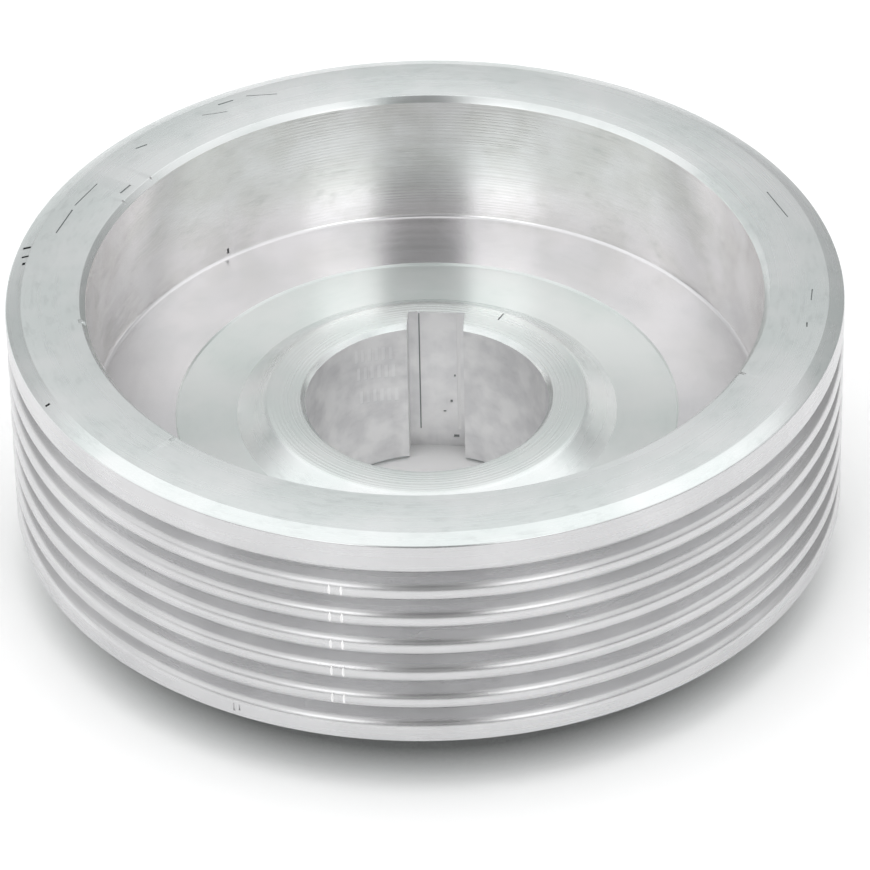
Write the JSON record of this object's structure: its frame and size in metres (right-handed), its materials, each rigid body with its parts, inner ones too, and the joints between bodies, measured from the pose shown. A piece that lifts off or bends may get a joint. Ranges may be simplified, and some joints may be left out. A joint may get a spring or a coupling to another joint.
{
  "type": "multi-rib belt pulley",
  "caption": "Turned ribbed belt pulley with a deep front recess, a central bore with one keyway and a short hub projecting at the rear.",
  "frame": {"origin": "centre of the hub's rear face, where the pulley stands", "axes": "+Z along the bore axis, out of the open recess; +Y through the keyway"},
  "size_m": [0.09, 0.09, 0.0327],
  "materials": {
    "turned_aluminium": "bright lathe-turned, with fine concentric tool marks"
  },
  "bodies": {
    "root": {"pulley": "turned_aluminium"}
  },
  "joints": []
}
